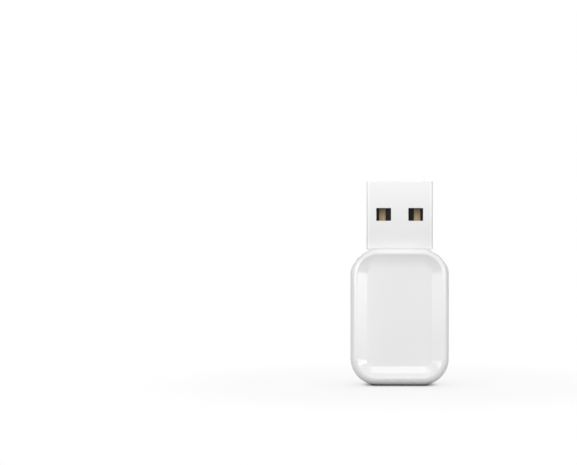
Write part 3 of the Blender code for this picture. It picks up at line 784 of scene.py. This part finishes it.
def plug_ribs(side):
    """Two ribs inside the head that seat the plug; its way trims them to their height."""
    inner_y = side * (HALF_DEPTH - WALL)
    ends = sorted((side * PLUG_HALF_DEPTH, inner_y + side * INNER_ROUND / 2))
    foot_z = BODY_LENGTH - WALL - PLUG_RIB_LENGTH
    ribs = []
    for index in (-1, 1):
        x = index * PLUG_RIB_PITCH / 2
        low = (x - PLUG_RIB_WIDTH / 2, ends[0], foot_z)
        high = (x + PLUG_RIB_WIDTH / 2, ends[1], BODY_LENGTH - WALL / 2)
        ribs.append(start_piece("plug_rib", box_shape(low, high)))
    return ribs


def plug_section(gap, z):
    """The plug's section with its bends, a gap larger all round, level at a height."""
    shape = bmesh.new()
    half_depth = PLUG_HALF_DEPTH + gap
    outline = (PLUG_HALF_WIDTH + gap, -half_depth, half_depth, PLUG_BEND + gap)
    face = rounded_face(shape, *outline, BEND_SEGMENTS)
    bmesh.ops.rotate(shape, matrix=Matrix.Rotation(math.pi / 2, 3, "X"), verts=shape.verts)
    bmesh.ops.translate(shape, vec=(0, 0, z), verts=shape.verts)
    return shape, face


def plug_way():
    """The room that the plug has through the head and behind its wall."""
    shape, face = plug_section(PLUG_WAY_GAP, board_high.z)
    grown = bmesh.ops.extrude_face_region(shape, geom=[face])
    length = (0, 0, BODY_LENGTH)
    bmesh.ops.translate(shape, vec=length, verts=newly_made(grown, bmesh.types.BMVert))
    return start_piece("plug_way", shape)


def snap_ridges(name, grow):
    """Ridges along the lip, two on each long side, or their grooves when grown."""
    y = -LIP_HEIGHT / 2
    height = SNAP_HEIGHT + grow
    face_x = HALF_WIDTH - WALL + LIP_SHEET
    root_x = face_x - LIP_SHEET / 2
    ridges = []
    for side in (-1, 1):
        for middle_z in (SNAP_FROM_END, BODY_LENGTH - SNAP_FROM_END):
            z = middle_z - SNAP_LENGTH / 2 - grow
            outline = [
                (side * root_x, y - height, z),
                (side * face_x, y - height, z),
                (side * (face_x + height), y, z),
                (side * face_x, y + height, z),
                (side * root_x, y + height, z),
            ]
            ridges.append(carried(name, outline, (0, 0, SNAP_LENGTH + 2 * grow)))
    return ridges


def make_casing_front(material):
    """The front shell, with a rebate in its edge and a socket for each locating pin."""
    seam = PARTING_GAP / 2
    skirt = WALL - LIP_SHEET - RUNNING_FIT
    rebate = LIP_HEIGHT + RUNNING_FIT
    edge = [(0, seam), (skirt, seam), (skirt, rebate), (WALL, rebate)]
    shell = mould_shell("casing_front", -1, edge)
    root_y = RECESS_DEPTH - HALF_DEPTH + WALL / 2
    boss = rods("bosses", BOSS_RADIUS, root_y, board_low.y - FIT)
    change(shell, "UNION", [*plug_ribs(-1), boss])
    bore = rods(
        "boss_bores", PIN_RADIUS + FIT, board_low.y - PIN_REACH - RUNNING_FIT, board_high.y
    )
    change(shell, "DIFFERENCE", [plug_way(), bore, *snap_ridges("snap_groove", RUNNING_FIT)])
    finish_piece(shell, material, "white_plastic", "front_shell")


def make_casing_back(material):
    """The back shell, with a lip round its edge and a pin on each of the board's posts."""
    seam = PARTING_GAP / 2
    lip = WALL - LIP_SHEET
    edge = [(0, seam), (lip, seam), (lip, -LIP_HEIGHT), (WALL, -LIP_HEIGHT)]
    shell = mould_shell("casing_back", 1, edge)
    root_y = HALF_DEPTH - RECESS_DEPTH - WALL / 2
    posts = [
        rods("posts", BOSS_RADIUS, board_high.y + FIT, root_y),
        rods("pins", PIN_RADIUS, board_low.y - PIN_REACH, root_y),
    ]
    change(shell, "UNION", [*plug_ribs(1), *posts, *snap_ridges("snap_ridge", 0)])
    change(shell, "DIFFERENCE", [plug_way()])
    finish_piece(shell, material, "white_plastic", "rear_shell")


def fold_lines():
    """Planes, as a point and a normal, at the edges of the windows and the legs."""
    window_top = MOUTH_Z - WINDOW_FROM_MOUTH
    levels = (
        window_top,
        window_top - WINDOW_LENGTH,
        PLUG_TAIL_Z,
        sleeve_low.z + LEG_WIDTH,
    )
    sides = [
        side * (WINDOW_PITCH / 2 + reach * WINDOW_WIDTH / 2)
        for side in (-1, 1)
        for reach in (-1, 1)
    ]
    depths = (board_low.y - FIT, board_low.y - LEG_ABOVE_BOARD)
    lines = [((0, 0, z), (0, 0, 1)) for z in levels]
    lines += [((x, 0, 0), (1, 0, 0)) for x in sides]
    lines += [((0, y, 0), (0, 1, 0)) for y in depths]
    return lines


def is_cut_away(middle):
    """True in a window, and behind the insulator everywhere but on the two legs."""
    window_top = MOUTH_Z - WINDOW_FROM_MOUTH
    if window_top - WINDOW_LENGTH < middle.z < window_top:
        flat = abs(middle.y) > PLUG_HALF_DEPTH - FIT
        return flat and abs(abs(middle.x) - WINDOW_PITCH / 2) < WINDOW_WIDTH / 2
    if middle.z > PLUG_TAIL_Z:
        return False
    if abs(middle.x) < PLUG_HALF_WIDTH - FIT or middle.y < board_low.y - LEG_ABOVE_BOARD:
        return True
    return middle.y > board_low.y - FIT and middle.z > sleeve_low.z + LEG_WIDTH


def dovetail_slit():
    """The seam's slit, a thin folded ribbon with one dovetail."""
    middle_z = MOUTH_Z - DOVETAIL_FROM_MOUTH
    neck = DOVETAIL_LENGTH / 2 - DOVETAIL_SLANT
    path = [
        (0, sleeve_low.z - PLUG_SHEET),
        (0, middle_z - neck),
        (DOVETAIL_WIDTH, middle_z - DOVETAIL_LENGTH / 2),
        (DOVETAIL_WIDTH, middle_z + DOVETAIL_LENGTH / 2),
        (0, middle_z + neck),
        (0, MOUTH_Z + PLUG_SHEET),
    ]
    shape = bmesh.new()
    y = PLUG_HALF_DEPTH - PLUG_SHEET - FIT
    points = [shape.verts.new((x, y, z)) for x, z in path]
    edges = [shape.edges.new(pair) for pair in zip(points, points[1:])]
    grown = bmesh.ops.extrude_edge_only(shape, edges=edges)
    through = (0, PLUG_SHEET + 2 * FIT, 0)
    bmesh.ops.translate(shape, vec=through, verts=newly_made(grown, bmesh.types.BMVert))
    slit = start_piece("dovetail_slit", shape)
    width = slit.modifiers.new("width", "SOLIDIFY")
    width.thickness = SEAM_SLIT
    width.offset = 0
    width.use_even_offset = True
    settle(slit)
    return slit


def make_plug_sleeve(material):
    """The plug's shell, folded from sheet, with its windows, its legs and its seam."""
    shape, face = plug_section(0, sleeve_low.z)
    foot = face.edges[:]
    bmesh.ops.delete(shape, geom=[face], context="FACES_ONLY")
    grown = bmesh.ops.extrude_edge_only(shape, edges=foot)
    length = (0, 0, MOUTH_Z - sleeve_low.z)
    bmesh.ops.translate(shape, vec=length, verts=newly_made(grown, bmesh.types.BMVert))
    for point, normal in fold_lines():
        everything = shape.verts[:] + shape.edges[:] + shape.faces[:]
        bmesh.ops.bisect_plane(
            shape, geom=everything, dist=WELD_DISTANCE, plane_co=point, plane_no=normal
        )
    removed = [face for face in shape.faces if is_cut_away(face.calc_center_median())]
    bmesh.ops.delete(shape, geom=removed, context="FACES")
    sleeve = start_piece("plug_sleeve", shape)
    sheet = sleeve.modifiers.new("sheet", "SOLIDIFY")
    sheet.thickness = PLUG_SHEET
    sheet.offset = -1
    sheet.use_even_offset = True
    change(sleeve, "DIFFERENCE", [dovetail_slit()])
    soften(sleeve, SHEET_EDGE_ROUND, angle=40)
    finish_piece(sleeve, material, "white_painted_steel", "plug_shell")


CONTACTS = ("contact_power", "contact_data_minus", "contact_data_plus", "contact_ground")


def make_plug_tongue(material):
    """The insulator: a tongue on a block, with a channel for each contact."""
    back_y = tongue_high.y
    shelf_z = MOUTH_Z - CAVITY_LENGTH
    tongue_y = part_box("contact_power")[0].y + FIT
    outline = [
        (-back_y, tongue_low.z),
        (-back_y, shelf_z),
        (tongue_y, shelf_z),
        (tongue_y, tongue_high.z - TONGUE_CHAMFER),
        (tongue_y + TONGUE_CHAMFER, tongue_high.z),
        (back_y, tongue_high.z),
        (back_y, tongue_low.z),
    ]
    points = [(tongue_low.x, y, z) for y, z in outline]
    tongue = carried("plug_tongue", points, (tongue_high.x - tongue_low.x, 0, 0))
    channels = []
    for name in CONTACTS:
        low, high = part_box(name)
        start = (low.x - FIT, low.y - FIT, tongue_low.z - FIT)
        end = (high.x + FIT, high.y + FIT, high.z + FIT)
        channels.append(start_piece("channel", box_shape(start, end)))
    change(tongue, "DIFFERENCE", channels)
    soften(tongue, MOULDED_EDGE_ROUND, angle=30)
    finish_piece(tongue, material, "black_plastic", "plug_insulator")


def make_contact_strips(material):
    """Four strips with rounded edges, whose noses slope so that they don't snag."""
    for node in CONTACTS:
        low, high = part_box(node)
        shape = box_shape(low, high)
        nose = [
            edge
            for edge in shape.edges
            if all(end.co.z > high.z - FIT and end.co.y < low.y + FIT for end in edge.verts)
        ]
        round_edges(shape, nose, CONTACT_NOSE_ROUND, NOSE_SEGMENTS)
        strip = start_piece(node + "_strip", shape)
        soften(strip, CONTACT_EDGE_ROUND, angle=40)
        finish_piece(strip, material, "gold_plate", node)


def paint_node(node, material):
    """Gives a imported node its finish."""
    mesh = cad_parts[node].data
    mesh.materials.clear()
    mesh.materials.append(material)


# The small parts with a tinned cap at each end, by what their bodies are made of
TWO_ENDED = {
    "tan": (
        "radio_capacitor_1",
        "radio_capacitor_2",
        "radio_capacitor_3",
        "crystal_capacitor_1",
        "crystal_capacitor_2",
        "matching_capacitor_1",
        "matching_capacitor_2",
        "supply_capacitor_1",
        "supply_capacitor_2",
        "input_capacitor",
    ),
    "white": ("matching_inductor",),
    "black": ("data_resistor_minus", "data_resistor_plus"),
    "grey": ("supply_bead",),
}
END_CAP_LENGTH = 0.00022
# Fired ceramic, glazed resistor and pressed ferrite: two tones, roughness and grain size
BODIES = {
    "tan": (("#A0805C", "#B08F69"), 0.50, 0.00010),
    "white": (("#D6D6D0", "#E2E2DC"), 0.40, 0.00012),
    "black": (("#161617", "#222224"), 0.30, 0.00015),
    "grey": (("#4A4A4C", "#5A5A5C"), 0.55, 0.00008),
}
# The same for the chips' moulded resin and for the crystal's ceramic tray
RESIN = (("#17171A", "#232327"), 0.55, 0.00006)
TRAY = (("#B9B29F", "#C9C3B2"), 0.45, 0.0001)
# Where the metal begins on them: a chip's pads are the last part of its depth, the
# regulator's leads stand out on both sides of its middle, and the crystal's lid lies in front
PADS_FROM = 0.93
LEADS_FROM_MIDDLE = 0.00082
TRAY_HEIGHT = 0.0004


def finish_board_and_parts():
    """The finishes of everything on the board."""
    paint_node("circuit_board", coated_glass_laminate())
    paint_node("printed_aerial", etched_gold_trace())
    for body, nodes in TWO_ENDED.items():
        for node in nodes:
            low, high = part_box(node)
            ends = beyond("Z", (low.z + high.z) / 2, (high.z - low.z) / 2 - END_CAP_LENGTH)
            name = f"fired_{body}_body_with_tinned_ends_{node}"
            paint_node(node, two_part_finish(name, *BODIES[body], ends))
    for node in ("radio_chip", "usb_serial_chip", "surge_protector"):
        low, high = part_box(node)
        pads = beyond("Y", low.y, (high.y - low.y) * PADS_FROM)
        paint_node(node, two_part_finish(f"moulded_chip_resin_{node}", *RESIN, pads))
    low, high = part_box("voltage_regulator")
    leads = beyond("X", (low.x + high.x) / 2, LEADS_FROM_MIDDLE)
    finish = two_part_finish("moulded_resin_on_tinned_leads", *RESIN, leads)
    paint_node("voltage_regulator", finish)
    lid = beyond("Y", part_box("radio_crystal")[1].y, TRAY_HEIGHT)
    paint_node("radio_crystal", two_part_finish("seam_welded_lid_on_ceramic", *TRAY, lid))


def rays_that_see_white(tree):
    """A share that is 1 for the camera's rays, mirrored ones and those through glass."""
    path = add_node(tree, "ShaderNodeLightPath")
    mirrored = add_node(
        tree,
        "ShaderNodeMath",
        {0: path.outputs["Is Camera Ray"], 1: path.outputs["Is Glossy Ray"]},
        operation="MAXIMUM",
    )
    seen = add_node(
        tree,
        "ShaderNodeMath",
        {0: mirrored.outputs["Value"], 1: path.outputs["Is Transmission Ray"]},
        operation="MAXIMUM",
    )
    return seen.outputs["Value"]


# The flat patch that the stick stands on. The round corners let light in at its ends, so in
# the painted shadow a distance counts for more there than in front of the patch and behind it
PATCH_HALF = (HALF_WIDTH - BODY_CORNER, HALF_DEPTH - EDGE_ROUND_DEPTH, 0.0)
SHADOW_END_WEIGHT = (1.95, 1.0, 1.0)
# The painted shadow on the paper, matched to the photo in front of the stick: distance out of
# the patch, and the share of the shadow that is left there
SHADOW_STOPS = (
    (0.0000, 1.00),
    (0.0018, 0.97),
    (0.0053, 0.31),
    (0.0088, 0.16),
    (0.0125, 0.11),
    (0.0250, 0.07),
    (0.0500, 0.05),
    (0.0900, 0.00),
)
FLOOR_HALF = 6.0
FLOOR_DROP = 0.00001
WHITE = linear("#FFFFFF")


def make_floor():
    """A white paper floor: it takes the lamps' shadows, a painted shadow darkens it near the
    stick, and further out it is pure white.
    """
    shape = bmesh.new()
    bmesh.ops.create_grid(shape, x_segments=1, y_segments=1, size=FLOOR_HALF)
    bmesh.ops.translate(shape, vec=(0, 0, cad_low.z - FLOOR_DROP), verts=shape.verts)
    floor = start_piece("floor", shape)
    material, tree, shader, place = new_material("white_paper")
    shader.inputs["Roughness"].default_value = 0.9
    shader.inputs["Specular IOR Level"].default_value = 0.1
    mirrored = add_node(tree, "ShaderNodeVectorMath", {0: place}, operation="ABSOLUTE")
    beside = add_node(
        tree,
        "ShaderNodeVectorMath",
        {0: mirrored.outputs["Vector"], 1: PATCH_HALF},
        operation="SUBTRACT",
    )
    outside = add_node(
        tree, "ShaderNodeVectorMath", {0: beside.outputs["Vector"]}, operation="MAXIMUM"
    )
    weighed = add_node(
        tree,
        "ShaderNodeVectorMath",
        {0: outside.outputs["Vector"], 1: SHADOW_END_WEIGHT},
        operation="MULTIPLY",
    )
    away = add_node(
        tree, "ShaderNodeVectorMath", {0: weighed.outputs["Vector"]}, operation="LENGTH"
    )
    reach = SHADOW_STOPS[-1][0]
    along = add_node(
        tree, "ShaderNodeMath", {0: away.outputs["Value"], 1: reach}, operation="DIVIDE"
    )
    shade = add_node(tree, "ShaderNodeValToRGB", {"Fac": along.outputs["Value"]})
    shade.color_ramp.interpolation = "CARDINAL"
    stops = shade.color_ramp.elements
    for number, (distance, share) in enumerate(SHADOW_STOPS):
        stop = stops[number] if number < len(stops) else stops.new(distance / reach)
        stop.position = distance / reach
        stop.color = (share, share, share, 1.0)
    fibre = add_node(
        tree, "ShaderNodeTexNoise", {"Vector": place, "Scale": 1 / PAPER_FIBRE, "Detail": 3.0}
    )
    tint = add_node(
        tree,
        "ShaderNodeMix",
        {"Factor": fibre.outputs["Fac"], 6: linear("#929292"), 7: linear("#9A9A9A")},
        data_type="RGBA",
    )
    # Painted shadow: the paper's own colour darkens to #525252 near the stick
    paper = add_node(
        tree,
        "ShaderNodeMix",
        {"Factor": shade.outputs["Color"], 6: tint.outputs[2], 7: linear("#525252")},
        data_type="RGBA",
    )
    tree.links.new(paper.outputs[2], shader.inputs["Base Color"])
    # Painted shadow: the pure white further out fades in only as the painted shadow fades
    clear = add_node(
        tree, "ShaderNodeMath", {0: 1.0, 1: shade.outputs["Color"]}, operation="SUBTRACT"
    )
    share = add_node(
        tree,
        "ShaderNodeMath",
        {0: clear.outputs["Value"], 1: rays_that_see_white(tree)},
        operation="MULTIPLY",
    )
    white = add_node(tree, "ShaderNodeEmission", {"Color": WHITE, "Strength": 1.0})
    blend = add_node(
        tree,
        "ShaderNodeMixShader",
        {0: share.outputs["Value"], 1: shader.outputs["BSDF"], 2: white.outputs["Emission"]},
    )
    output = next(node for node in tree.nodes if node.type == "OUTPUT_MATERIAL")
    tree.links.new(blend.outputs["Shader"], output.inputs["Surface"])
    floor.data.materials.append(material)


# How strongly the world lights the stick, beside the white that the camera sees
WORLD_STRENGTH = 0.06


def light_world():
    """A dim studio, whose background is white to the camera and in reflections."""
    world = bpy.data.worlds.new("studio")
    bpy.context.scene.world = world
    world.use_nodes = True
    tree = world.node_tree
    tree.nodes.clear()
    strength = add_node(
        tree,
        "ShaderNodeMapRange",
        {"Value": rays_that_see_white(tree), "To Min": WORLD_STRENGTH, "To Max": 1.0},
    )
    background = add_node(
        tree,
        "ShaderNodeBackground",
        {"Color": WHITE, "Strength": strength.outputs["Result"]},
    )
    add_node(tree, "ShaderNodeOutputWorld", {"Surface": background.outputs["Background"]})


# Softboxes: name, bearing and height in degrees, distance, side and watts. A bearing is
# counted from the front, and is positive to the right
SOFTBOXES = (
    ("front_left", -28, 7, 0.40, 0.12, 0.410),
    ("near_left", -47, 7, 0.25, 0.10, 0.155),
    ("side_left", -90, 10, 0.40, 0.12, 0.063),
    ("front_right", 30, 7, 0.40, 0.12, 0.318),
    ("side_right", 62, 7, 0.25, 0.10, 0.168),
    ("front_low", 0, 22, 0.50, 0.20, 0.105),
    ("front_high", 0, 65, 0.50, 0.20, 0.205),
    ("front_top", 0, 80, 0.50, 0.20, 0.475),
    ("back_left", -160, 20, 0.50, 0.20, 0.800),
    ("back_right", 165, 20, 0.50, 0.20, 1.100),
)


def light_stick():
    """Square softboxes round the stick, each aimed at its middle."""
    middle = (cad_low + cad_high) / 2
    for name, bearing, height, distance, side, watts in SOFTBOXES:
        lamp = bpy.data.lights.new(name, "AREA")
        lamp.shape = "SQUARE"
        lamp.size = side
        lamp.energy = watts
        turn, rise = math.radians(bearing), math.radians(height)
        level = math.cos(rise)
        outward = Vector((math.sin(turn) * level, -math.cos(turn) * level, math.sin(rise)))
        holder = bpy.data.objects.new(name, lamp)
        holder.location = middle + outward * distance
        holder.rotation_euler = (-outward).to_track_quat("-Z", "Y").to_euler()
        holder.visible_camera = False
        bpy.context.scene.collection.objects.link(holder)


# The camera: its lens and sensor in millimetres, its place, and how many degrees it looks
# down and to the left
LENS = 233.8
SENSOR = 36.0
CAMERA_PLACE = (0.0, -0.680, 0.0345)
LOOK_DOWN = 0.585
LOOK_LEFT = 1.6996


def place_camera():
    """The photo's view: a long lens straight in front of the stick, turned to its left."""
    lens = bpy.data.cameras.new("camera")
    lens.sensor_width = SENSOR
    lens.lens = LENS
    lens.clip_start = 0.01
    camera = bpy.data.objects.new("camera", lens)
    camera.location = CAMERA_PLACE
    camera.rotation_euler = (math.radians(90 - LOOK_DOWN), 0.0, math.radians(LOOK_LEFT))
    bpy.context.scene.collection.objects.link(camera)
    bpy.context.scene.camera = camera


place_camera()
abs_gloss = moulded_gloss_abs()
make_casing_front(abs_gloss)
make_casing_back(abs_gloss)
make_plug_sleeve(sprayed_white_steel())
make_plug_tongue(moulded_black_nylon())
make_contact_strips(plated_gold_strip())
finish_board_and_parts()
make_floor()
light_world()
light_stick()
bpy.context.scene.view_settings.view_transform = "Standard"
